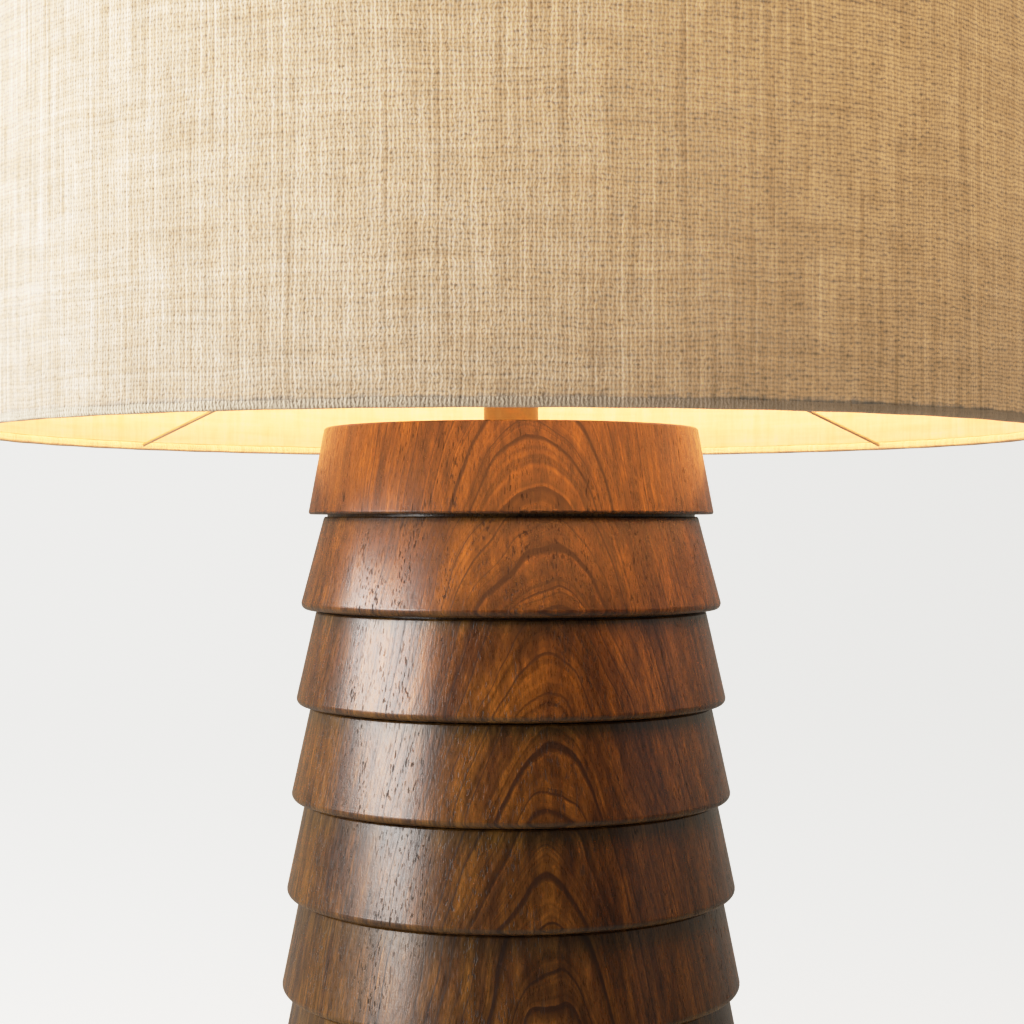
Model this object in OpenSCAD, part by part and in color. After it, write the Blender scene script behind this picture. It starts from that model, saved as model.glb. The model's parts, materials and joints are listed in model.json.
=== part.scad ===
// Table lamp: a body of stacked, downward-flaring walnut tiers on a threaded rod, a brass neck,
// a switched screw lampholder, and a linen drum shade carried by a three-armed spider.
// Millimetres, +Z up, origin at the centre of the flat base. -Y is the front.

/* [Walnut body] */
// Number of turned tiers
tier_count = 10; // [7:1:12]
// Height from one tier's foot to the next
tier_pitch = 39.7; // [36:0.1:44]
// Height of the top tier
cap_tier_h = 36.1; // [30:0.1:42]
// Radius of the top tier at its top
cap_top_r = 79.0; // [72:0.1:82]
// Widest radius of the top tier, at its foot
cap_foot_r = 85.4; // [84:0.1:88]
// Widest radius of the second tier, at its foot
second_foot_r = 88.4; // [87:0.1:92]
// How much wider each further tier is than the one above it
foot_step = 1.95; // [1:0.05:2.5]
// How far the top tier overhangs the tier below it
first_overhang = 6.3; // [5:0.1:7.5]
// How much less each tier overhangs than the one above it
overhang_step = 0.28; // [0:0.01:0.3]
// Shadow gap under each overhang
shadow_gap = 1.0; // [0.6:0.1:2]
// Radius of the rounded edge at each foot
foot_round = 2.5; // [1:0.1:3]
// Radius of the crisper edge at the top tier's foot
cap_foot_round = 1.0; // [0.6:0.1:2]
// Width of the broken edge at each tier's top
edge_break = 0.6; // [0.3:0.1:1]

/* [Neck and lampholder] */
// Outer radius of the neck tube
neck_r = 11.55; // [11.3:0.05:13]
// Height of the neck tube
neck_h = 36; // [30:1:60]
// Height of the lampholder's cap
holder_cap_h = 21.5; // [20:0.5:26]
// Travel of the switch bar
switch_travel = 4; // [3:0.5:5]

/* [Shade] */
// Outer radius of the linen cover
shade_r = 225; // [200:1:260]
// Height of the shade over its hems
shade_h = 270; // [230:1:320]
// How far the shade's bottom edge hangs below the top of the body
rim_drop = 3.9; // [0:0.1:20]
// Radius of the spider arm wire
arm_r = 0.8; // [0.6:0.1:1.4]

/* [Hidden] */
$fn = 96;
tiny = 0.01;

// Base: felt under the bottom tier, and the rod's lower fastening in a recess.
felt_h = 2;
felt_r = 98;
recess_r = 32;
recess_h = 14;
base_washer_r = 30;
washer_h = 2;
nut_h = 6;
nut_flats = 16;
rod_r = 5;
rod_bore_r = 3.5;
rod_hole_r = 5.3;
rod_foot_z = 5;
rod_entry = 6;
channel_z = 12;
channel_r = 5;
channel_start_y = 26;

// Cord gland at the rear of the bottom tier.
gland_bore_r = 3.5;
gland_r = 4.95;
gland_flange_r = 6.5;
gland_flange_h = 2;
gland_seat_y = second_foot_r + foot_step * (tier_count - 2) - 2.8;
gland_inner_y = gland_seat_y - 18;

// Body levels and radii. Tier 1 is the top one.
function foot_z(i) = felt_h + tier_pitch * (tier_count - i);
function top_z(i) = i == 1 ? foot_z(1) + cap_tier_h : foot_z(i - 1) - shadow_gap;
function foot_r(i) = i == 1 ? cap_foot_r : second_foot_r + foot_step * (i - 2);
function overhang(i) = first_overhang - overhang_step * (i - 1);
function top_r(i) = i == 1 ? cap_top_r : foot_r(i - 1) - overhang(i - 1);
function tier_name(i) = str("tier_", i < 10 ? "0" : "", i);
body_top = top_z(1);

// Wide spigots that centre the tiers on each other and close the shadow gaps a little way in.
groove_depth = 1.5;
spigot_r = top_r(2) - groove_depth;
spigot_h = 3;
spigot_clearance = 0.3;

// Top fastening, in a counterbore that the neck tube covers.
top_bore_r = 10.4;
top_bore_h = 9;
top_washer_r = 10.2;
neck_wall = 1.2;

// Lampholder, from the neck tube's top upwards.
holder_z = body_top + neck_h;
holder_r = 19.2;
holder_wall = 1.6;
holder_foot_r = 13;
holder_cone_h = 8;
boss_r = 8;
rod_top_z = holder_z + rod_entry;
bar_r = 3;
bar_hole_r = 3.08;
bar_l = 52;
bar_z = holder_z + 13;
switch_block = [22, 16, 8.6];
skirt_z = holder_z + holder_cap_h;
shoulder_r = 23;
shoulder_h = 2.5;
skirt_h = 38;
skirt_inner_r = 17;
thread_crest = 0.6;
skirt_thread_pitch = 3;
skirt_threads = 9;
insulator_r = 16.8;
insulator_z = bar_z + switch_block[2] / 2 + 0.6;
insulator_top = skirt_z + 6;
terminal_y = 10.5;
terminal_r = 1.75;
terminal_head_r = 3;
terminal_head_h = 0.5;
terminal_l = 7;
shell_inner_r = 13.5;
shell_wall = 0.5;
shell_h = 24;
contact_r = 2.8;
contact_h = 4.4;

// Shade, from its bottom edge upwards.
shade_z = body_top - rim_drop;
linen_wall = 0.8;
liner_wall = 0.6;
wire_r = 1.5;
hem_r = 1.9;
hem_proud = 0.3;
ring_r = shade_r + hem_proud - hem_r;
crease = 0.15;
fitter_z = skirt_z + shoulder_h;
fitter_inner_r = 20.6;
fitter_r = 27;
fitter_h = 2;
arm_angles = [-90, 35.5, 144.5];
function arm_name(k) = str("spider_arm_", k);

// Shade ring that clamps the fitter ring on the lampholder's shoulder.
clamp_inner_r = 20.1;
clamp_collar_r = 23;
clamp_flange_r = 26.4;
clamp_flange_h = 2.2;
clamp_h = 9;
clamp_z = fitter_z + fitter_h;
grip_notches = 18;
notch_r = 1.3;

// Bulb, from its contact button upwards.
bulb_z = insulator_top + contact_h;
button_r = 3.4;
button_h = 1.4;
bulb_insulator_h = 3;
bulb_cap_z = bulb_z + button_h + bulb_insulator_h;
bulb_cap_r = 12.4;
bulb_cap_h = 22;
bulb_thread_pitch = 3.63;
bulb_threads = 5;
housing_z = bulb_cap_z + bulb_cap_h;
housing_h = 22;
housing_r = 25;
housing_neck_r = 14;
globe_z = housing_z + housing_h;
globe_r = 30;
globe_foot_r = 24.2;
globe_wall = 1.2;
globe_rise = 19;
board_r = 20;
board_h = 1.6;

walnut = [0.38, 0.22, 0.11];
brass = [0.76, 0.55, 0.24];
steel = [0.6, 0.61, 0.63];
linen = [0.8, 0.72, 0.6];
black_plastic = [0.07, 0.07, 0.07];
white_plastic = [0.92, 0.92, 0.9];

// A ring of revolution between two radii.
module ring(inner, outer, height) {
    rotate_extrude()
        translate([inner, 0])
            square([outer - inner, height]);
}

// Hexagonal nut with a round hole.
module hex_nut(flats, hole, height) {
    difference() {
        cylinder(r = flats / 2 / cos(30), h = height, $fn = 6);
        translate([0, 0, -1])
            cylinder(r = hole, h = height + 2);
    }
}

// Outline of one tier in the radius-height plane, with its rounded foot and its broken top edge.
module tier_outline(i) {
    low = foot_z(i);
    high = top_z(i);
    fillet = i == 1 ? cap_foot_round : foot_round;
    centre = [foot_r(i) - fillet, low + fillet];
    to_top = [top_r(i), high - edge_break] - centre;
    lean = atan2(to_top[1], to_top[0]) - acos(fillet / norm(to_top));
    tangent = centre + fillet * [cos(lean), sin(lean)];
    polygon([
        [0, low],
        [centre[0], low],
        centre,
        tangent,
        [top_r(i), high - edge_break],
        [top_r(i) - edge_break, high],
        [0, high]
    ]);
    translate(centre)
        circle(r = fillet);
}

// The outline with its spigot above, and with the rod's hole, the socket and the fastenings' recesses cut.
module tier_profile(i) {
    difference() {
        union() {
            tier_outline(i);
            if (i > 1)
                translate([0, top_z(i) - 1])
                    square([spigot_r, 1 + shadow_gap + spigot_h]);
        }
        translate([-tiny, foot_z(i) - 1])
            square([rod_hole_r + tiny, tier_pitch + spigot_h + 2]);
        if (i < tier_count)
            translate([-tiny, foot_z(i) - 1])
                square([spigot_r + spigot_clearance + tiny, 1 + spigot_h]);
        if (i == tier_count)
            translate([-tiny, felt_h - 1])
                square([recess_r + tiny, recess_h + 1]);
        if (i == 1)
            translate([-tiny, body_top - top_bore_h])
                square([top_bore_r + tiny, top_bore_h + 1]);
    }
}

module tier(i) {
    color(walnut)
        difference() {
            rotate_extrude()
                tier_profile(i);
            if (i == tier_count)
                cord_cuts();
        }
}

// Channel from the bottom recess to the rear, with a seat for the cord gland's flange.
module cord_cuts() {
    translate([0, 0, channel_z])
        rotate([-90, 0, 0])
            rotate_extrude()
                polygon([
                    [0, channel_start_y],
                    [channel_r, channel_start_y],
                    [channel_r, gland_seat_y],
                    [gland_flange_r + 0.1, gland_seat_y],
                    [gland_flange_r + 0.1, gland_seat_y + 10],
                    [0, gland_seat_y + 10]
                ]);
}

module felt_pad() {
    color([0.12, 0.12, 0.11])
        cylinder(r = felt_r, h = felt_h);
}

module cord_gland() {
    color(black_plastic)
        translate([0, 0, channel_z])
            rotate([-90, 0, 0])
                difference() {
                    union() {
                        translate([0, 0, gland_inner_y])
                            cylinder(r = gland_r, h = gland_seat_y - gland_inner_y + tiny);
                        translate([0, 0, gland_seat_y])
                            cylinder(r = gland_flange_r, h = gland_flange_h);
                    }
                    translate([0, 0, gland_inner_y - 1])
                        cylinder(r = gland_bore_r, h = gland_seat_y - gland_inner_y + gland_flange_h + 2);
                }
}

module threaded_rod() {
    color(steel)
        translate([0, 0, rod_foot_z])
            ring(rod_bore_r, rod_r, rod_top_z - rod_foot_z);
}

module base_washer() {
    color(steel)
        translate([0, 0, felt_h + recess_h - washer_h])
            ring(rod_r + 0.2, base_washer_r, washer_h);
}

module base_nut() {
    color(steel)
        translate([0, 0, felt_h + recess_h - washer_h - nut_h])
            hex_nut(nut_flats, rod_r + 0.02, nut_h);
}

module top_washer() {
    color(steel)
        translate([0, 0, body_top - top_bore_h])
            ring(rod_r + 0.2, top_washer_r, washer_h);
}

module top_nut() {
    color(steel)
        translate([0, 0, body_top - top_bore_h + washer_h])
            hex_nut(nut_flats, rod_r + 0.02, nut_h);
}

module neck_tube() {
    color(brass)
        translate([0, 0, body_top])
            ring(neck_r - neck_wall, neck_r, neck_h);
}

// Cap of the lampholder: a cone that opens into a short cylinder, with an inner threaded boss.
module holder_cap() {
    color(black_plastic)
        difference() {
            translate([0, 0, holder_z])
                rotate_extrude()
                    polygon([
                        [rod_r + 0.02, 0],
                        [holder_foot_r, 0],
                        [holder_r, holder_cone_h],
                        [holder_r, holder_cap_h],
                        [holder_r - holder_wall, holder_cap_h],
                        [holder_r - holder_wall, holder_cone_h + 0.8],
                        [holder_foot_r - 1, holder_wall],
                        [boss_r, holder_wall],
                        [boss_r, rod_entry],
                        [rod_r + 0.02, rod_entry]
                    ]);
            translate([-holder_r - 1, 0, bar_z])
                rotate([0, 90, 0])
                    cylinder(r = bar_hole_r, h = 2 * holder_r + 2);
        }
}

module switch_block() {
    color([0.75, 0.72, 0.66])
        difference() {
            translate([-switch_block[0] / 2, -switch_block[1] / 2, bar_z - switch_block[2] / 2])
                cube(switch_block);
            translate([-switch_block[0] / 2 - 1, 0, bar_z])
                rotate([0, 90, 0])
                    cylinder(r = bar_hole_r, h = switch_block[0] + 2);
        }
}

// Push-through bar with domed ends. It rests pushed towards +X, which is on.
module switch_bar() {
    color(brass)
        translate([switch_travel / 2 - bar_l / 2, 0, bar_z])
            rotate([0, 90, 0])
                rotate_extrude()
                    polygon([
                        [0, 0],
                        [bar_r * 0.6, 0],
                        [bar_r, bar_r * 0.4],
                        [bar_r, bar_l - bar_r * 0.4],
                        [bar_r * 0.6, bar_l],
                        [0, bar_l]
                    ]);
}

module holder_insulator() {
    color([0.93, 0.92, 0.88])
        difference() {
            translate([0, 0, insulator_z])
                cylinder(r = insulator_r, h = insulator_top - insulator_z);
            for (side = [-1, 1])
                translate([0, side * terminal_y, insulator_z - 1])
                    cylinder(r = terminal_r + 0.02, h = terminal_l - terminal_head_h + 1.5);
        }
}

module terminal_screws() {
    color(brass)
        for (side = [-1, 1])
            translate([0, side * terminal_y, insulator_z - terminal_head_h])
                union() {
                    cylinder(r = terminal_head_r, h = terminal_head_h);
                    cylinder(r = terminal_r, h = terminal_l);
                }
}

module centre_contact() {
    color(brass)
        translate([0, 0, insulator_top])
            cylinder(r = contact_r, h = contact_h);
}

module screw_shell() {
    color(brass)
        translate([0, 0, insulator_top])
            ring(shell_inner_r, shell_inner_r + shell_wall, shell_h);
}

// Skirt with the shoulder that the shade rests on, and thread crests for the shade ring.
module holder_skirt() {
    color(black_plastic)
        translate([0, 0, skirt_z])
            rotate_extrude() {
                translate([skirt_inner_r, 0])
                    square([holder_r - skirt_inner_r, skirt_h]);
                translate([skirt_inner_r, 0])
                    square([shoulder_r - skirt_inner_r, shoulder_h]);
                for (k = [0 : skirt_threads - 1])
                    translate([holder_r, shoulder_h + fitter_h + 3 + k * skirt_thread_pitch])
                        polygon([[-0.4, -1], [0, -1], [thread_crest, -0.3], [thread_crest, 0.3], [0, 1], [-0.4, 1]]);
            }
}

module shade_ring() {
    color(black_plastic)
        translate([0, 0, clamp_z])
            difference() {
                rotate_extrude()
                    polygon([
                        [clamp_inner_r, 0],
                        [clamp_flange_r, 0],
                        [clamp_flange_r, clamp_flange_h],
                        [clamp_collar_r + 1, clamp_flange_h + 0.6],
                        [clamp_collar_r, clamp_h],
                        [clamp_inner_r, clamp_h]
                    ]);
                for (k = [0 : grip_notches - 1])
                    rotate(k * 360 / grip_notches)
                        translate([clamp_flange_r + 0.4, 0, -1])
                            cylinder(r = notch_r, h = clamp_flange_h + 3, $fn = 24);
            }
}

module fitter_ring() {
    color(steel)
        translate([0, 0, fitter_z])
            ring(fitter_inner_r, fitter_r, fitter_h);
}

// Ring wire at a given height of its centre.
module ring_wire(z, r) {
    translate([0, 0, z])
        rotate_extrude()
            translate([ring_r, 0])
                circle(r = r, $fn = 32);
}

// Straight spider arm from the bottom ring wire up to the fitter ring, as a round rod.
module arm_rod(k) {
    foot = [ring_r, shade_z + hem_r];
    head = [fitter_r, fitter_z + fitter_h / 2];
    run = foot[0] - head[0];
    rise = head[1] - foot[1];
    rotate(arm_angles[k - 1])
        translate([foot[0], 0, foot[1]])
            rotate([0, atan2(-run, rise), 0])
                cylinder(r = arm_r, h = norm([run, rise]) + 1, $fn = 32);
}

module spider_arm(k) {
    color(steel)
        difference() {
            arm_rod(k);
            ring_wire(shade_z + hem_r, wire_r);
            translate([0, 0, fitter_z - 5])
                cylinder(r = fitter_r, h = fitter_h + 10);
        }
}

module bottom_ring_wire() {
    color(steel)
        ring_wire(shade_z + hem_r, wire_r - 0.02);
}

module top_ring_wire() {
    color(steel)
        ring_wire(shade_z + shade_h - hem_r, wire_r - 0.02);
}

// Linen rolled round the ring wire. The arms pierce the roll to reach the wire.
module bottom_hem() {
    color(linen)
        difference() {
            ring_wire(shade_z + hem_r, hem_r);
            ring_wire(shade_z + hem_r, wire_r);
        }
}

module top_hem() {
    color(linen)
        difference() {
            ring_wire(shade_z + shade_h - hem_r, hem_r);
            ring_wire(shade_z + shade_h - hem_r, wire_r);
        }
}

module shade_wall(outer, wall) {
    translate([0, 0, shade_z + 2 * hem_r + crease])
        ring(outer - wall, outer, shade_h - 4 * hem_r - 2 * crease);
}

module shade_liner() {
    color([0.96, 0.94, 0.88])
        shade_wall(shade_r - linen_wall, liner_wall);
}

module shade_linen() {
    color(linen)
        shade_wall(shade_r, linen_wall);
}

module bulb_contact() {
    color(steel)
        translate([0, 0, bulb_z])
            cylinder(r = button_r, h = button_h);
}

module bulb_insulator() {
    color(black_plastic)
        translate([0, 0, bulb_z + button_h])
            cylinder(r1 = button_r + 1, r2 = bulb_cap_r - 1, h = bulb_insulator_h);
}

// Screw cap with rounded thread crests.
module bulb_cap() {
    color([0.8, 0.8, 0.79])
        translate([0, 0, bulb_cap_z])
            rotate_extrude() {
                square([bulb_cap_r, bulb_cap_h]);
                for (k = [0 : bulb_threads - 1])
                    translate([bulb_cap_r - 0.6, 3 + k * bulb_thread_pitch])
                        circle(r = 1.25, $fn = 24);
            }
}

module bulb_housing() {
    color(white_plastic)
        translate([0, 0, housing_z])
            rotate_extrude()
                polygon([
                    [0, 0],
                    [housing_neck_r, 0],
                    [housing_neck_r + 1, 5],
                    [housing_r, housing_h - 4],
                    [housing_r, housing_h],
                    [0, housing_h]
                ]);
}

module bulb_board() {
    color([0.85, 0.85, 0.82])
        translate([0, 0, globe_z])
            cylinder(r = board_r, h = board_h);
}

// Outline of the globe: a cone that opens into a ball and meets it a little below its centre.
module globe_outline(foot, ball) {
    meet = 6;
    intersection() {
        union() {
            translate([0, globe_rise])
                circle(r = ball);
            polygon([
                [0, 0],
                [foot, 0],
                [sqrt(ball * ball - meet * meet), globe_rise - meet],
                [0, globe_rise - meet]
            ]);
        }
        square([2 * ball, 4 * ball]);
    }
}

module bulb_globe() {
    color([0.98, 0.97, 0.93])
        translate([0, 0, globe_z])
            rotate_extrude()
                difference() {
                    globe_outline(globe_foot_r, globe_r);
                    globe_outline(globe_foot_r - globe_wall, globe_r - globe_wall);
                }
}

for (i = [1 : tier_count]) {
    tier(i);
}
felt_pad();
cord_gland();
threaded_rod();
base_washer();
base_nut();
top_washer();
top_nut();
neck_tube();
holder_cap();
switch_block();
switch_bar();
holder_insulator();
terminal_screws();
centre_contact();
screw_shell();
holder_skirt();
shade_ring();
fitter_ring();
for (k = [1 : len(arm_angles)]) {
    spider_arm(k);
}
bottom_ring_wire();
top_ring_wire();
bottom_hem();
top_hem();
shade_liner();
shade_linen();
bulb_contact();
bulb_insulator();
bulb_cap();
bulb_housing();
bulb_board();
bulb_globe();
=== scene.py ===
"""Table lamp: tiered walnut body, brass neck, switched lampholder and a linen drum shade. Metres, +Z up."""

import json
import math

import bpy
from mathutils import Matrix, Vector


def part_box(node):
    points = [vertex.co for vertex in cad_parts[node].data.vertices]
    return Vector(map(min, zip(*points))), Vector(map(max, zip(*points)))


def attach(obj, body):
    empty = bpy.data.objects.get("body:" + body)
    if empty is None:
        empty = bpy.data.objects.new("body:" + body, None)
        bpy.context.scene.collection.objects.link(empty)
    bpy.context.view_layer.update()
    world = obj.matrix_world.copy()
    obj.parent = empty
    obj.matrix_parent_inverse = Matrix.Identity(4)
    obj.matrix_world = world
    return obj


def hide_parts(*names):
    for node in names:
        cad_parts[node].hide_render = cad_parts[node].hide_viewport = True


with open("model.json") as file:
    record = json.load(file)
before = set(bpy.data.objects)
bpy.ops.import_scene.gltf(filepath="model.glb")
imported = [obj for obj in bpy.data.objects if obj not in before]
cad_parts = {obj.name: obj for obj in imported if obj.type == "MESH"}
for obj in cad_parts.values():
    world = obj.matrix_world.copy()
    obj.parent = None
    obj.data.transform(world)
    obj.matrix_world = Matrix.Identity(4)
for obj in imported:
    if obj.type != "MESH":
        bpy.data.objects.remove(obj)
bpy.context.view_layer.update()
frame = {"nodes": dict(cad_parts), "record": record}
nodes = frame["nodes"]
scene = bpy.context.scene


# ---------------------------------------------------------------- sizes, from the frame where it has them

linen_low, linen_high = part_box("shade_linen")
liner_low, liner_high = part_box("shade_liner")
hem_low, hem_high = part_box("bottom_hem")
top_hem_low, top_hem_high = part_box("top_hem")
globe_low, globe_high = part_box("bulb_globe")
tier_names = sorted(n for n in nodes if n.startswith("tier_"))
tier_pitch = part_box(tier_names[-2])[0].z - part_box(tier_names[-1])[0].z
body_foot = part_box(tier_names[-1])[0].z

shade_r = linen_high.x
rim_z = hem_low.z
hem_ring_r = hem_high.x - (hem_high.z - hem_low.z) / 2
LINEN_THICK = 0.0007
LINER_THICK = 0.00055
CLOTH_GAP = 0.00035       # between the linen's back and the liner
HEM_PROUD = 0.00006       # how far a hem's flat side stands out from the cover
bulb_centre = Vector((0, 0, globe_high.z - (globe_high.x - globe_low.x) / 2))

THREAD = 0.00138          # from one thread of the weave to the next
threads_round = round(2 * math.pi * shade_r / THREAD)
thread_step = 2 * math.pi / threads_round


# ---------------------------------------------------------------- camera

SHADE_SHARE = 0.2745      # the shade's radius, as a share of the eye's distance
RIM_SHARE = 0.0430        # how far the eye is below the shade's rim, as a share of its distance
EYE_ASIDE = 0.00038       # how far the eye is to the right of the axis
TILT_UP = 0.285           # degrees above level
FOCAL_LENGTH = 67.92      # mm, on a film 36 mm wide


def make_camera():
    """In front of the lamp, level with the gap between the first two tiers, looking just above level."""
    distance = shade_r / SHADE_SHARE
    camera = bpy.data.objects.new("camera", bpy.data.cameras.new("camera"))
    scene.collection.objects.link(camera)
    camera.location = (EYE_ASIDE, -distance, rim_z - RIM_SHARE * distance)
    camera.rotation_euler = (math.radians(90 + TILT_UP), 0, 0)
    camera.data.sensor_width = 36
    camera.data.lens = FOCAL_LENGTH
    camera.data.clip_start = 0.02
    camera.data.clip_end = 50
    scene.camera = camera


make_camera()


# ---------------------------------------------------------------- node materials

class Shader:
    """A node material, written as a chain of small steps. Values may be numbers, colours or sockets."""

    def __init__(self, name):
        self.material = bpy.data.materials.new(name)
        self.material.use_nodes = True
        self.tree = self.material.node_tree
        self.bsdf = self.tree.nodes["Principled BSDF"]
        self.point = self.add("ShaderNodeTexCoord").outputs["Object"]

    def add(self, kind, **settings):
        node = self.tree.nodes.new(kind)
        for key, value in settings.items():
            setattr(node, key, value)
        return node

    def put(self, value, socket):
        if isinstance(value, bpy.types.NodeSocket):
            self.tree.links.new(value, socket)
        else:
            socket.default_value = value

    def math(self, operation, a, b=0.0):
        node = self.add("ShaderNodeMath", operation=operation)
        for value, socket in zip((a, b), node.inputs):
            self.put(value, socket)
        return node.outputs[0]

    def plus(self, a, b):
        return self.math("ADD", a, b)

    def minus(self, a, b):
        return self.math("SUBTRACT", a, b)

    def times(self, a, b):
        return self.math("MULTIPLY", a, b)

    def step(self, value, low, high):
        """0 below low, 1 above high, smooth between. Low may be the larger one."""
        node = self.add("ShaderNodeMapRange", interpolation_type="SMOOTHSTEP")
        self.put(value, node.inputs["Value"])
        flipped = low > high
        self.put(min(low, high), node.inputs["From Min"])
        self.put(max(low, high), node.inputs["From Max"])
        self.put(1.0 if flipped else 0.0, node.inputs["To Min"])
        self.put(0.0 if flipped else 1.0, node.inputs["To Max"])
        return node.outputs["Result"]

    def between(self, value, low, high):
        """Low where value is 0, high where it is 1."""
        return self.plus(self.times(value, high - low), low)

    def split(self, vector):
        node = self.add("ShaderNodeSeparateXYZ")
        self.put(vector, node.inputs[0])
        return node.outputs

    def join(self, x, y, z):
        node = self.add("ShaderNodeCombineXYZ")
        for value, socket in zip((x, y, z), node.inputs):
            self.put(value, socket)
        return node.outputs[0]

    def scaled(self, vector, x, y, z):
        node = self.add("ShaderNodeVectorMath", operation="MULTIPLY")
        self.put(vector, node.inputs[0])
        self.put((x, y, z), node.inputs[1])
        return node.outputs[0]

    def noise(self, vector, scale, detail=2.0, roughness=0.5, kind="3D", w=None):
        node = self.add("ShaderNodeTexNoise", noise_dimensions=kind)
        if kind != "1D":
            self.put(vector, node.inputs["Vector"])
        if w is not None:
            self.put(w, node.inputs["W"])
        self.put(scale, node.inputs["Scale"])
        self.put(detail, node.inputs["Detail"])
        self.put(roughness, node.inputs["Roughness"])
        return node.outputs["Fac"]

    def dice(self, value):
        """A different steady number from 0 to 1 for each whole number."""
        node = self.add("ShaderNodeTexWhiteNoise", noise_dimensions="1D")
        self.put(value, node.inputs["W"])
        return node.outputs["Value"]

    def mix(self, factor, a, b, blend="MIX"):
        """A mix of two colours. The node's colour sockets are known by place, as they share their names."""
        node = self.add("ShaderNodeMix", data_type="RGBA", blend_type=blend)
        self.put(factor, node.inputs["Factor"])
        self.put(colour(a), node.inputs[6])
        self.put(colour(b), node.inputs[7])
        return node.outputs[2]

    def mix_value(self, factor, a, b):
        node = self.add("ShaderNodeMix", data_type="FLOAT")
        for value, socket in zip((factor, a, b), (node.inputs[0], node.inputs[2], node.inputs[3])):
            self.put(value, socket)
        return node.outputs[0]

    def tint(self, shade, by):
        """A colour made lighter or darker by a number."""
        return self.mix(1.0, shade, self.join(by, by, by), "MULTIPLY")

    def aged(self, shade, by):
        """A colour made lighter or darker by a number, browner where darker and paler where lighter."""
        green, blue = self.math("POWER", by, 1.15), self.math("POWER", by, 1.35)
        return self.mix(1.0, shade, self.join(by, green, blue), "MULTIPLY")

    def bump(self, height, distance, strength):
        node = self.add("ShaderNodeBump")
        self.put(height, node.inputs["Height"])
        node.inputs["Distance"].default_value = distance
        node.inputs["Strength"].default_value = strength
        return node.outputs["Normal"]

    def set(self, **sockets):
        for key, value in sockets.items():
            name = key.replace("_", " ")
            self.put(colour(value) if "Color" in name or "Tint" in name else value, self.bsdf.inputs[name])
        return self


def colour(value):
    """A colour given as red, green, blue, with alpha added; anything else as it is."""
    if isinstance(value, (tuple, list)) and len(value) == 3:
        return (*value, 1.0)
    return value


def dress(node, material):
    """Gives a CAD node its material."""
    mesh = nodes[node].data
    mesh.materials.clear()
    mesh.materials.append(material)


# ---------------------------------------------------------------- walnut

PITH_X, PITH_Y = 0.024, -0.168      # where the middle of the trunk stood
RING_STEP = 0.0031                  # one year's growth
WOOD_DARK, WOOD_BRIGHT = (0.053, 0.0226, 0.0094), (0.14, 0.0645, 0.0114)
LATE_WOOD, PORE = (0.017, 0.006, 0.0026), (0.006, 0.003, 0.002)


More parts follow.
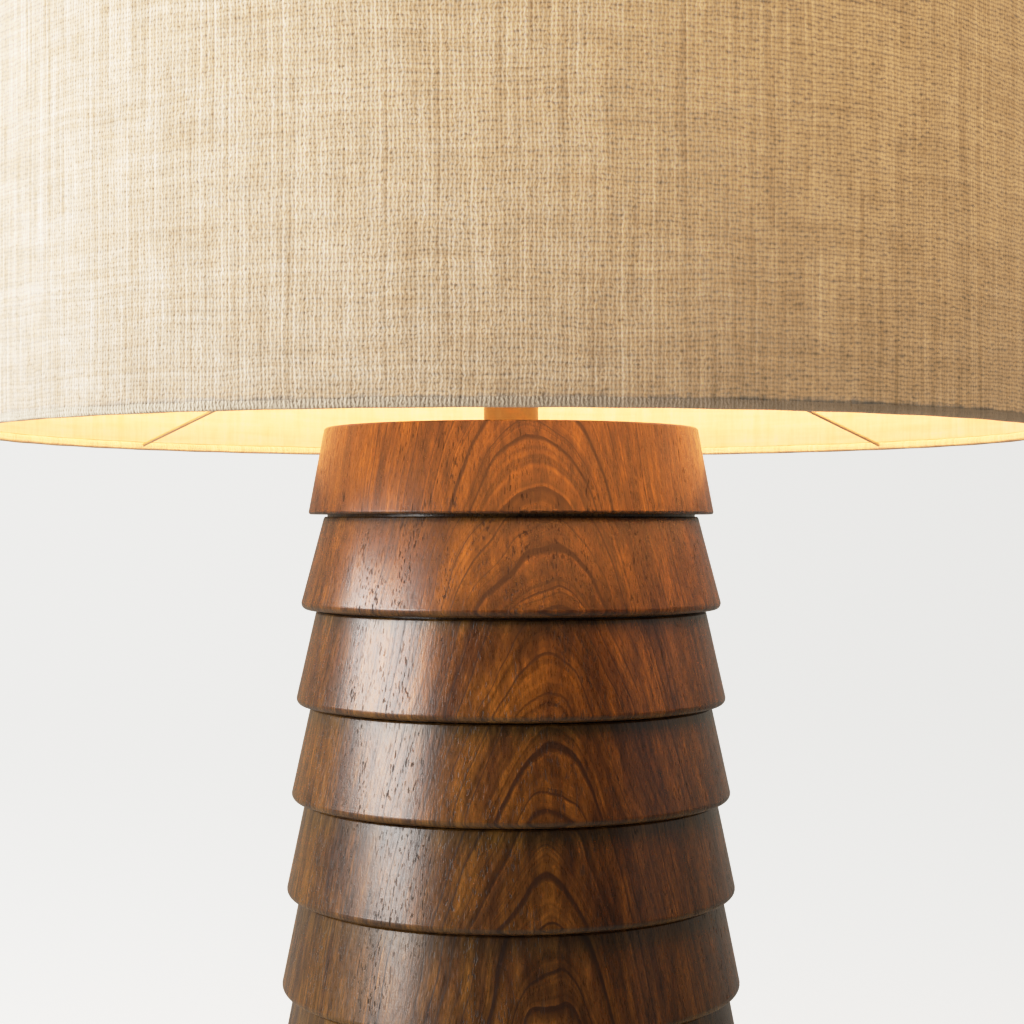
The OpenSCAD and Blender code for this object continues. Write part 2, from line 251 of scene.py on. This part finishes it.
def walnut():
    """Solid walnut with satin oil: rings round an upright pith in front of the lamp's axis, fibres and pores.
    Each tier is turned from its own blank, so each has its own shift of the pith and its own waviness."""
    s = Shader("walnut")
    x, y, z = s.split(s.point)
    tier = s.math("FLOOR", s.math("DIVIDE", s.minus(z, body_foot), tier_pitch))
    own = s.dice(s.plus(tier, 3.0))
    own_2 = s.dice(s.plus(tier, 31.0))

    # Growth rings: distance from the pith, with a slow sway and a small ripple.
    offset = s.times(own, 4.0)
    shifted = s.join(s.plus(x, offset), s.plus(y, offset), s.times(z, 0.6))
    sway = s.minus(s.noise(shifted, 19.0, 1.5, 0.45), 0.5)
    ripple = s.minus(s.noise(shifted, 75.0, 1.0, 0.4), 0.5)
    drift = s.plus(s.times(sway, 0.014), s.times(ripple, 0.0017))
    dx = s.minus(x, s.plus(PITH_X, s.times(s.minus(own_2, 0.5), 0.014)))
    dy = s.minus(y, PITH_Y)
    radius = s.math("SQRT", s.plus(s.times(dx, dx), s.times(dy, dy)))
    ring = s.math("DIVIDE", s.plus(s.plus(radius, drift), s.times(own, 0.03)), RING_STEP)
    ring = s.plus(ring, s.times(s.noise(None, 0.55, 1.0, 0.5, "1D", w=ring), 2.2))
    number = s.math("FLOOR", ring)
    within = s.math("FRACT", ring)
    weight = s.between(s.math("POWER", s.dice(number), 1.3), 0.42, 1.0)

    # A thin dark line ends each ring, with dark late wood fading away outside it.
    late = s.math("POWER", s.minus(1.0, within), 2.4)
    line = s.times(s.step(within, 0.8, 0.92), s.step(within, 1.0, 0.96))
    dark = s.math("MINIMUM", s.times(s.plus(s.times(late, 0.28), s.times(line, 1.4)), weight), 1.0)

    # Bands and hairlines that follow the rings, long streaks, fibres and pores.
    band = s.noise(None, 0.3, 2.0, 0.6, "1D", w=s.plus(ring, s.times(own_2, 40.0)))
    fine = s.noise(None, 2.1, 3.0, 0.75, "1D", w=s.plus(ring, s.times(own, 40.0)))
    hair = s.noise(None, 5.5, 2.0, 0.6, "1D", w=s.plus(ring, s.times(own, 70.0)))
    cloud = s.noise(s.scaled(shifted, 1.0, 1.0, 0.5), 26.0, 3.0, 0.6)
    long = s.noise(s.scaled(shifted, 1.0, 1.0, 0.05), 240.0, 2.0, 0.55)
    streak = s.noise(s.scaled(shifted, 1.0, 1.0, 0.035), 700.0, 2.0, 0.6)
    fibre = s.noise(s.scaled(s.point, 1.0, 1.0, 0.03), 1500.0, 2.0, 0.65)
    pores = s.noise(s.scaled(s.point, 1.0, 1.0, 0.034), 1500.0, 1.0, 0.4)
    cluster = s.step(s.noise(s.scaled(shifted, 1.0, 1.0, 0.12), 110.0, 2.0, 0.5), 0.42, 0.64)
    pore = s.times(s.step(pores, 0.61, 0.67), s.between(cluster, 0.15, 0.9))

    warm = s.plus(s.times(band, 0.3), s.plus(s.times(cloud, 0.4), s.times(long, 0.3)))
    base = s.mix(s.step(warm, 0.34, 0.66), WOOD_DARK, WOOD_BRIGHT)
    base = s.tint(base, s.between(fine, 0.1, 1.9))
    base = s.tint(base, s.between(hair, 0.45, 1.55))
    base = s.tint(base, s.between(long, 0.4, 1.6))
    base = s.tint(base, s.between(streak, 0.4, 1.6))
    base = s.tint(base, s.between(fibre, 0.4, 1.6))
    base = s.mix(s.times(dark, 0.9), base, LATE_WOOD)
    base = s.mix(s.times(pore, 0.8), base, PORE)

    turned = s.noise(s.scaled(s.point, 0.02, 0.02, 1.0), 1300.0, 1.0, 0.5)
    grain = s.plus(s.times(fibre, 0.26), s.plus(s.times(streak, 0.22), s.times(turned, 0.06)))
    relief = s.bump(s.minus(grain, s.times(pore, 0.38)), 0.0002, 0.85)
    s.set(Base_Color=base, Normal=relief, Coat_Normal=relief,
          Roughness=s.plus(s.between(fibre, 0.2, 0.36), s.times(s.plus(pore, s.times(dark, 0.2)), 0.6)),
          Specular_IOR_Level=0.5, IOR=1.5, Coat_Weight=0.12, Coat_Roughness=0.2, Coat_IOR=1.45)
    return s.material


# ---------------------------------------------------------------- linen

LINEN = (0.588, 0.532, 0.462)
LINEN_WARMER = tuple(c * k for c, k in zip(LINEN, (1.02, 0.975, 0.94)))
# Painted shade for the openings between the threads.
LINEN_GAP_PAINTED_SHADE = (0.29, 0.175, 0.075)
LINEN_GLOW = (0.455, 0.245, 0.084)
HEM_GLOW_OUTSIDE, HEM_GLOW_INSIDE = (0.15, 0.074, 0.026), (1.5, 0.65, 0.35)
LINER_GLOW = (1.0, 0.34, 0.275)


def weave(s):
    """Plain weave over the shade's round wall, as (tone, gap, height, thickness, light let through)."""
    x, y, z = s.split(s.point)
    wander = s.minus(s.noise(s.point, 22.0, 2.0, 0.5), 0.5)
    up_wander = s.minus(s.noise(s.scaled(s.point, 1.0, 1.0, 1.4), 25.0, 2.0, 0.5), 0.5)
    turn = s.math("ARCTAN2", x, s.times(y, -1.0))
    u = s.plus(s.math("DIVIDE", turn, thread_step), s.times(wander, 1.6))
    v = s.plus(s.math("DIVIDE", z, THREAD), s.times(up_wander, 3.0))
    warp, weft = s.math("FLOOR", u), s.math("FLOOR", v)
    crossing = s.dice(s.plus(s.times(warp, 17.13), s.times(weft, 5.71)))

    # Every thread strays a little from its place, and swells and thins along its length.
    warp_slub = s.noise(s.join(s.times(warp, 7.31), s.times(z, 60.0), 0.0), 1.0, 2.0, 0.65, "2D")
    weft_slub = s.noise(s.join(s.times(turn, 14.0), s.times(weft, 5.77), 0.0), 1.0, 2.0, 0.65, "2D")
    warp_stray = s.noise(s.join(s.times(warp, 3.17), s.times(z, 300.0), 5.0), 1.0, 2.0, 0.7, "2D")
    weft_stray = s.noise(s.join(s.times(turn, 70.0), s.times(weft, 4.37), 5.0), 1.0, 2.0, 0.7, "2D")
    across_u = s.minus(s.math("FRACT", u), s.between(warp_stray, -0.15, 1.15))
    across_v = s.minus(s.math("FRACT", v), s.between(weft_stray, -0.15, 1.15))
    across_u, across_v = s.math("ABSOLUTE", across_u), s.math("ABSOLUTE", across_v)
    warp_open = s.step(s.minus(across_u, s.between(warp_slub, 0.24, 0.62)), -0.12, 0.1)
    weft_open = s.step(s.minus(across_v, s.between(weft_slub, 0.24, 0.62)), -0.12, 0.1)
    gap = s.times(s.math("MAXIMUM", s.times(warp_open, weft_open), s.times(warp_open, 0.3)),
                  s.between(s.math("POWER", crossing, 2.6), 0.1, 1.0))

    # The warp stands out more than the weft, and each crossing sits a little higher or lower.
    over = s.math("PINGPONG", s.plus(warp, weft), 1.0)
    round_warp = s.math("COSINE", s.times(across_u, math.pi))
    round_weft = s.math("COSINE", s.times(across_v, math.pi))
    warp_lift = s.plus(s.times(over, 0.5), s.times(crossing, 0.5))
    weft_lift = s.plus(s.times(over, -0.5), s.times(crossing, 0.5))
    warp_body = s.times(round_warp, s.between(warp_lift, 0.72, 1.0))
    weft_body = s.times(round_weft, s.between(weft_lift, 0.62, 0.86))
    height = s.math("MAXIMUM", warp_body, weft_body)

    # Lighter and darker threads, in runs of one to three, over broad soft patches.
    warp_run = s.noise(s.join(s.times(u, 0.55), s.times(z, 22.0), 3.0), 1.0, 3.0, 0.65, "2D")
    weft_run = s.noise(s.join(s.times(turn, 5.0), s.times(v, 0.55), 9.0), 1.0, 3.0, 0.65, "2D")
    warp_tone = s.plus(s.times(s.dice(warp), 0.25), s.times(warp_run, 0.75))
    weft_tone = s.plus(s.times(s.dice(s.plus(weft, 517.0)), 0.25), s.times(weft_run, 0.75))
    patch = s.noise(s.scaled(s.point, 1.0, 1.0, 1.3), 45.0, 3.0, 0.6)
    speck = s.noise(s.point, 620.0, 2.0, 0.6)
    tone = s.plus(s.times(warp_tone, 0.38), s.times(weft_tone, 0.22))
    tone = s.plus(tone, s.plus(s.times(patch, 0.18), s.times(speck, 0.22)))
    paler = s.noise(s.join(s.times(warp, 0.83), s.times(z, 7.0), 2.0), 1.0, 1.0, 0.5, "2D")
    darker = s.noise(s.join(s.times(warp, 0.91), s.times(z, 9.0), 6.0), 1.0, 1.0, 0.5, "2D")
    tone = s.plus(tone, s.times(s.minus(s.step(paler, 0.62, 0.7), s.step(darker, 0.64, 0.7)), 0.07))
    thickness = s.plus(s.times(warp_slub, 0.5), s.times(weft_slub, 0.5))
    through = s.times(s.between(round_weft, 0.66, 1.16), s.between(round_warp, 0.86, 1.08))
    return tone, gap, height, thickness, through


def speck_relief(s):
    """Loose fibres that stand off the cloth."""
    return s.noise(s.point, 560.0, 3.0, 0.65)


def lit_from_inside(s):
    """How strongly the bulb lights the shade's wall at a height, 1 level with the bulb."""
    z = s.split(s.point)[2]
    off = s.math("DIVIDE", s.minus(z, bulb_centre.z), shade_r)
    return s.math("POWER", s.plus(1.0, s.times(off, off)), -1.5)


def linen():
    """Natural linen with slubs, lit through from inside."""
    s = Shader("linen")
    tone, gap, height, thickness, through = weave(s)
    fibre = s.noise(s.point, 2600.0, 2.0, 0.6)
    blotch = s.noise(s.point, 150.0, 2.0, 0.5)
    shade = s.mix(s.step(blotch, 0.35, 0.65), LINEN, LINEN_WARMER)
    shade = s.aged(shade, s.between(tone, 0.05, 1.95))
    shade = s.tint(shade, s.between(fibre, 0.85, 1.15))
    # Painted shade: the openings between the threads are darkened towards a deep brown.
    shade = s.mix(s.times(gap, 0.62), shade, LINEN_GAP_PAINTED_SHADE)
    rolled_up = s.plus(s.split(s.point)[2], s.times(s.minus(thickness, 0.5), 0.004))
    above_hem = s.step(rolled_up, hem_high.z - 0.0012, hem_high.z + 0.001)
    light = s.times(s.times(lit_from_inside(s), above_hem), s.between(tone, 0.2, 1.8))
    light = s.times(s.times(light, through), s.between(thickness, 0.7, 1.3))
    light = s.times(light, s.minus(1.0, s.times(gap, 0.14)))
    s.set(Base_Color=shade, Roughness=0.92, Specular_IOR_Level=0.1, Sheen_Weight=0.06, Sheen_Roughness=0.5,
          Normal=s.bump(s.plus(height, s.times(speck_relief(s), 0.75)), 0.00032, 0.9),
          Emission_Color=s.tint(LINEN_GLOW, light), Emission_Strength=1.0)
    s.material.cycles.emission_sampling = "NONE"
    return s.material


def hem_linen():
    """The same cloth folded under the shade's edge. Its inner side faces the bulb and is bright."""
    s = Shader("linen_hem")
    tone, gap, height = weave(s)[:3]
    x, y, z = s.split(s.point)
    fibre = s.noise(s.point, 2600.0, 2.0, 0.6)
    shade = s.tint((0.67, 0.6, 0.49), s.between(tone, 0.35, 1.65))
    shade = s.tint(shade, s.between(fibre, 0.86, 1.14))
    # Painted shade: the openings between the threads are darkened.
    shade = s.mix(s.times(gap, 0.72), shade, (0.2, 0.135, 0.075))
    radius = s.math("SQRT", s.plus(s.times(x, x), s.times(y, y)))
    inward = s.step(radius, hem_ring_r - 0.0001, hem_ring_r - 0.0012)
    inner = s.times(inward, s.step(z, hem_low.z + 0.0003, hem_low.z + 0.0013))
    light = s.times(lit_from_inside(s), s.between(tone, 0.6, 1.4))
    glow = s.mix(inner, HEM_GLOW_OUTSIDE, HEM_GLOW_INSIDE)
    s.set(Base_Color=shade, Roughness=0.92, Specular_IOR_Level=0.2, Sheen_Weight=0.15, Sheen_Roughness=0.5,
          Normal=s.bump(height, 0.00042, 0.9),
          Emission_Color=s.tint(glow, light), Emission_Strength=1.0)
    s.material.cycles.emission_sampling = "NONE"
    return s.material


def liner_material():
    """Translucent sheet behind the linen, lit by the bulb and mottled with the cloth's shadow."""
    s = Shader("shade_liner")
    mottle = s.noise(s.scaled(s.point, 1.0, 1.0, 0.5), 120.0, 4.0, 0.7)
    broad = s.noise(s.point, 14.0, 2.0, 0.5)
    grain = s.noise(s.point, 1900.0, 1.0, 0.5)
    light = s.times(lit_from_inside(s), s.between(mottle, 0.5, 1.42))
    light = s.times(light, s.between(broad, 0.86, 1.1))
    upright = s.noise(s.scaled(s.point, 1.0, 1.0, 0.06), 420.0, 2.0, 0.6)
    level = s.noise(s.scaled(s.point, 0.06, 0.06, 1.0), 420.0, 2.0, 0.6)
    light = s.times(light, s.times(s.between(upright, 0.55, 1.45), s.between(level, 0.55, 1.45)))
    s.set(Base_Color=s.tint((0.8, 0.66, 0.44), s.between(mottle, 0.95, 1.05)),
          Roughness=s.between(grain, 0.5, 0.7),
          Normal=s.bump(s.plus(mottle, s.times(grain, 0.3)), 0.0001, 0.5),
          Emission_Color=s.tint(LINER_GLOW, light), Emission_Strength=1.42)
    return s.material


# ---------------------------------------------------------------- metals, plastics, felt and glass

def metal(name, base, roughness, marks, scale, tarnish=None):
    """Brushed metal. marks is how far the brush marks vary the roughness, and scale how fine they are along
    each axis. tarnish is the colour that some of it has turned."""
    s = Shader(name)
    brush = s.noise(s.scaled(s.point, *scale), 1.0, 3.0, 0.6)
    cloud = s.noise(s.point, 120.0, 3.0, 0.55)
    shade = s.tint(base, s.between(brush, 0.88, 1.1))
    if tarnish is not None:
        shade = s.mix(s.times(s.step(cloud, 0.45, 0.75), 0.45), shade, tarnish)
    rough = s.plus(s.between(brush, roughness - marks, roughness + marks), s.times(cloud, 0.08))
    s.set(Base_Color=shade, Metallic=1.0, Roughness=rough, Normal=s.bump(brush, 0.00004, 0.5))
    return s.material


def plastic(name, base, roughness):
    """Moulded plastic with a fine spark-eroded grain."""
    s = Shader(name)
    texture = s.noise(s.point, 1400.0, 2.0, 0.6)
    cloud = s.noise(s.point, 60.0, 2.0, 0.5)
    s.set(Base_Color=s.tint(base, s.between(cloud, 0.85, 1.15)),
          Roughness=s.plus(s.between(texture, roughness - 0.08, roughness + 0.08), s.times(cloud, 0.06)),
          Normal=s.bump(texture, 0.00005, 0.6))
    return s.material


def ceramic():
    """Unglazed ceramic with a few dark specks."""
    s = Shader("ceramic")
    speck = s.step(s.noise(s.point, 900.0, 1.0, 0.4), 0.68, 0.74)
    cloud = s.noise(s.point, 90.0, 3.0, 0.5)
    clay = s.tint((0.82, 0.79, 0.72), s.between(cloud, 0.93, 1.05))
    shade = s.mix(s.times(speck, 0.4), clay, (0.45, 0.38, 0.3))
    s.set(Base_Color=shade, Roughness=s.between(cloud, 0.35, 0.5), Coat_Weight=0.2, Coat_Roughness=0.2,
          Normal=s.bump(cloud, 0.0003, 0.4))
    return s.material


def felt():
    """Pressed dark felt."""
    s = Shader("felt")
    fuzz = s.noise(s.point, 2200.0, 3.0, 0.7)
    clump = s.noise(s.point, 320.0, 3.0, 0.6)
    cover = s.plus(s.times(fuzz, 0.6), s.times(clump, 0.4))
    s.set(Base_Color=s.tint((0.035, 0.035, 0.032), s.between(cover, 0.5, 1.6)),
          Roughness=0.96, Sheen_Weight=0.5, Sheen_Roughness=0.6,
          Normal=s.bump(s.plus(fuzz, clump), 0.0005, 0.9))
    return s.material


def opal():
    """Lit opal globe, a little dimmer towards its foot, with a glossy skin."""
    s = Shader("opal_globe")
    z = s.split(s.point)[2]
    up = s.step(z, globe_low.z - 0.004, globe_low.z + 0.02)
    cloud = s.noise(s.point, 70.0, 3.0, 0.5)
    light = s.times(s.between(up, 0.55, 1.0), s.between(cloud, 0.96, 1.04))
    s.set(Base_Color=(0.95, 0.92, 0.86), Roughness=s.between(cloud, 0.16, 0.26), Coat_Weight=0.3,
          Normal=s.bump(cloud, 0.0003, 0.2),
          Emission_Color=s.tint((1.0, 0.83, 0.58), light), Emission_Strength=3.0)
    return s.material


def make_materials():
    return {
        "walnut": walnut(),
        "felt": felt(),
        "black_plastic": plastic("black_plastic", (0.022, 0.022, 0.022), roughness=0.45),
        "zinc_steel": metal("zinc_steel", (0.6, 0.6, 0.57), roughness=0.36, marks=0.1,
                            scale=(300.0, 300.0, 300.0), tarnish=(0.42, 0.41, 0.38)),
        "satin_brass": metal("satin_brass", (0.215, 0.185, 0.09), roughness=0.34, marks=0.06,
                             scale=(40.0, 40.0, 1500.0), tarnish=(0.5, 0.27, 0.08)),
        "contact_brass": metal("contact_brass", (0.8, 0.58, 0.25), roughness=0.25, marks=0.06,
                               scale=(200.0, 200.0, 900.0), tarnish=(0.6, 0.4, 0.16)),
        "ceramic": ceramic(),
        "wire_steel": metal("wire_steel", (0.74, 0.68, 0.52), roughness=0.5, marks=0.08,
                            scale=(500.0, 500.0, 90.0), tarnish=(0.5, 0.4, 0.27)),
        "linen": linen(),
        "linen_hem": hem_linen(),
        "shade_liner": liner_material(),
        "nickel": metal("nickel", (0.72, 0.7, 0.66), roughness=0.22, marks=0.05,
                        scale=(120.0, 120.0, 1200.0)),
        "white_plastic": plastic("white_plastic", (0.8, 0.79, 0.75), roughness=0.4),
        "opal_globe": opal(),
    }


materials = make_materials()
for part in frame["record"]["subparts"]:
    dress(part["node"], materials[part["material_slot"]])


# ---------------------------------------------------------------- pieces of cloth

def new_piece(name, points, faces, body, slot_name, stands_for):
    """A smooth mesh piece that rides on a body and takes a record slot's material."""
    mesh = bpy.data.meshes.new(name)
    mesh.from_pydata(points, [], faces)
    mesh.validate()
    for polygon in mesh.polygons:
        polygon.use_smooth = True
    mesh.materials.append(materials[slot_name])
    piece = bpy.data.objects.new(name, mesh)
    scene.collection.objects.link(piece)
    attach(piece, body)
    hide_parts(*stands_for)
    return piece


def turned_loop(section, turns, moved=None):
    """Sweeps a closed section of (radius, height) points round the axis, in a number of steps.
    Where it is given, moved(angle, index, r, z) moves each point of the section."""
    points, faces = [], []
    count = len(section)
    for k in range(turns):
        angle = 2 * math.pi * k / turns
        for j, (r, z) in enumerate(section):
            if moved is not None:
                r, z = moved(angle, j, r, z)
            points.append((r * math.sin(angle), -r * math.cos(angle), z))
        following = (k + 1) % turns
        for j in range(count):
            up = (j + 1) % count
            faces.append((k * count + j, following * count + j, following * count + up, k * count + up))
    return points, faces


def wall_section(outer, inner, low, high, steps):
    """Closed section of a thin upright wall, with its edges rounded a little."""
    lip = (outer - inner) * 0.3
    rise = [low + lip + (high - low - 2 * lip) * k / steps for k in range(steps + 1)]
    section = [(inner + lip, low), (outer - lip, low)]
    section += [(outer, z) for z in rise]
    section += [(outer - lip, high), (inner + lip, high)]
    section += [(inner, z) for z in reversed(rise)]
    return section


WALL_TURNS, HEM_TURNS = 720, 3072       # steps round the shade


def make_linen():
    """The cover, one sheet round the shade, with its edges tucked a little way under the hems."""
    slow, quick, deepest = 0.00008, 0.00006, 0.00014

    def wavy(angle, _, r, z):
        ease = slow * math.sin(7 * angle + 11 * z) + quick * math.sin(23 * angle - 40 * z)
        return r - deepest + ease, z

    tuck = 0.0012
    section = wall_section(shade_r, shade_r - LINEN_THICK, linen_low.z - tuck, linen_high.z + tuck, steps=40)
    points, faces = turned_loop(section, WALL_TURNS, wavy)
    piece = new_piece("linen_cover", points, faces, "shade", "linen", ["shade_linen"])


def make_liner():
    """The stiff sheet just inside the cover."""
    outer = shade_r - LINEN_THICK - CLOTH_GAP
    section = wall_section(outer, outer - LINER_THICK, liner_low.z, liner_high.z, steps=24)
    points, faces = turned_loop(section, WALL_TURNS)
    new_piece("shade_liner_sheet", points, faces, "shade", "shade_liner", ["shade_liner"])


def make_hem(name, low, high, node):
    """Linen folded round the ring wire: flat outside, in line with the cover, and rounded elsewhere."""
    half = (high.z - low.z) / 2
    centre_z = (low.z + high.z) / 2
    flat_r = shade_r + HEM_PROUD
    steps = 24
    section = []
    for j in range(steps):
        turn = 2 * math.pi * j / steps
        across, up = math.cos(turn), math.sin(turn)
        squareness = 0.45 if across > 0 else 0.9
        reach = flat_r - hem_ring_r if across > 0 else half
        r = hem_ring_r + reach * math.copysign(abs(across) ** squareness, across)
        section.append((r, centre_z + half * math.copysign(abs(up) ** 0.75, up)))

    def threads(angle, j, r, z):
        turn = 2 * math.pi * j / steps
        ripple = 0.00002 * math.sin(angle * threads_round + 2.0 * math.sin(31 * angle))
        ripple += 0.00006 * math.sin(43 * angle + 3 * turn) - 0.00005
        return r + ripple * math.cos(turn), z + ripple * math.sin(turn)

    points, faces = turned_loop(section, HEM_TURNS, threads)
    new_piece(name, points, faces, "shade", "linen_hem", [node])


make_linen()
make_liner()
make_hem("hem_bottom", hem_low, hem_high, "bottom_hem")
make_hem("hem_top", top_hem_low, top_hem_high, "top_hem")


# ---------------------------------------------------------------- floor, backdrop and light

def paper():
    """Plain pale paper, with painted shade that makes it look a little darker to the right. It lights the
    lamp only from behind and below.
    """
    s = Shader("paper")
    camera = s.add("ShaderNodeLightPath").outputs["Is Camera Ray"]
    x, y, z = s.split(s.point)
    from_behind = s.times(s.step(y, -0.4, 2.0), 0.25)
    from_floor = s.times(s.step(z, 0.05, 0.0), 0.08)
    # Painted shade: the brightness the camera gets from the paper falls off towards the right, away from the
    # window light.
    seen_with_painted_shade = s.minus(1.05, s.times(s.step(x, -1.3, 1.6), 0.12))
    light = s.mix_value(camera, s.math("MAXIMUM", from_behind, from_floor), seen_with_painted_shade)
    glow = s.mix(camera, (1.0, 0.9, 0.74), (1.0, 1.0, 0.98))
    fleck = s.noise(s.point, 3.0, 2.0, 0.5)
    s.set(Base_Color=s.tint((0.34, 0.335, 0.325), s.between(fleck, 0.99, 1.01)), Roughness=0.9,
          Specular_IOR_Level=0.1, Emission_Color=s.tint(glow, light), Emission_Strength=1.0)
    s.material.cycles.emission_sampling = "NONE"
    return s.material


def make_stage():
    """One seamless bowl: a flat floor that curves up into a wall all round."""
    floor_r, curve_r, wall_top = 3.2, 1.6, 3.6
    arc_steps, turns = 16, 96
    arc = [(floor_r + curve_r * math.sin(a), curve_r * (1 - math.cos(a)))
           for a in (math.pi / 2 * k / arc_steps for k in range(arc_steps + 1))]
    outline = [(0.4, 0.0), (1.6, 0.0)] + arc + [(floor_r + curve_r, wall_top)]
    points = [(0.0, 0.0, 0.0)]
    faces = []
    for k in range(turns):
        angle = 2 * math.pi * k / turns
        points += [(r * math.sin(angle), -r * math.cos(angle), z) for r, z in outline]
    count = len(outline)
    for k in range(turns):
        here, following = 1 + k * count, 1 + (k + 1) % turns * count
        faces.append((0, here, following))
        faces += [(here + j, here + j + 1, following + j + 1, following + j) for j in range(count - 1)]
    mesh = bpy.data.meshes.new("backdrop")
    mesh.from_pydata(points, [], faces)
    for polygon in mesh.polygons:
        polygon.use_smooth = True
    mesh.materials.append(paper())
    backdrop = bpy.data.objects.new("backdrop", mesh)
    scene.collection.objects.link(backdrop)


def area_light(name, place, aim, width, height, power, shade):
    """A flat light at a place, turned to face what it is aimed at."""
    light = bpy.data.lights.new(name, "AREA")
    light.shape = "RECTANGLE"
    light.size, light.size_y = width, height
    light.energy = power
    light.color = shade
    holder = bpy.data.objects.new(name, light)
    holder.location = place
    holder.rotation_euler = (Vector(aim) - Vector(place)).to_track_quat("-Z", "Z").to_euler()
    scene.collection.objects.link(holder)
    return holder


def make_lights():
    """A tall window light from the left, a weak fill from the right, dim room light, and the bulb's light."""
    reach = 1.55
    left = math.radians(74)
    window = (-reach * math.sin(left), -reach * math.cos(left), 0.76)
    area_light("window", window, aim=(0, 0, 0.38), width=0.64, height=1.48, power=42.0,
               shade=(1.0, 0.985, 0.965))
    area_light("fill", (1.7, -0.2, 0.8), aim=(0, 0, 0.4), width=0.9, height=1.4, power=1.1,
               shade=(1.0, 0.97, 0.93))
    below_bulb = (0, 0, bulb_centre.z - 0.06)
    glow = area_light("shade_glow", below_bulb, aim=(0, 0, 0), width=0.42, height=0.42, power=1.9,
                      shade=(1.0, 0.54, 0.06))
    glow.data.shape = "DISK"
    glow.visible_camera = glow.visible_glossy = False
    bulb = bpy.data.lights.new("bulb_light", "POINT")
    bulb.energy = 1.2
    bulb.color = (1.0, 0.6, 0.28)
    bulb.shadow_soft_size = 0.028
    holder = bpy.data.objects.new("bulb_light", bulb)
    holder.location = bulb_centre
    nodes["bulb_globe"].visible_shadow = False
    scene.collection.objects.link(holder)
    world = bpy.data.worlds.new("room")
    world.use_nodes = True
    background = world.node_tree.nodes["Background"]
    background.inputs["Color"].default_value = (1.0, 0.84, 0.63, 1)
    background.inputs["Strength"].default_value = 0.17
    scene.world = world


def film_curve():
    """Leaves the darks alone and rolls bright values off softly, as film does, so that they lose colour."""
    view = scene.view_settings
    view.view_transform = "Standard"
    view.use_curve_mapping = True
    brightest = 2.0
    view.curve_mapping.white_level = (brightest, brightest, brightest)
    curve = view.curve_mapping.curves[3]
    for at, gives in ((0.2, 0.2), (0.5, 0.495), (0.75, 0.68), (1.0, 0.8), (1.3, 0.89), (1.6, 0.945)):
        curve.points.new(at / brightest, gives)
    curve.points[0].location = (0, 0)
    curve.points[-1].location = (1, 0.985)
    view.curve_mapping.update()


make_stage()
make_lights()
film_curve()
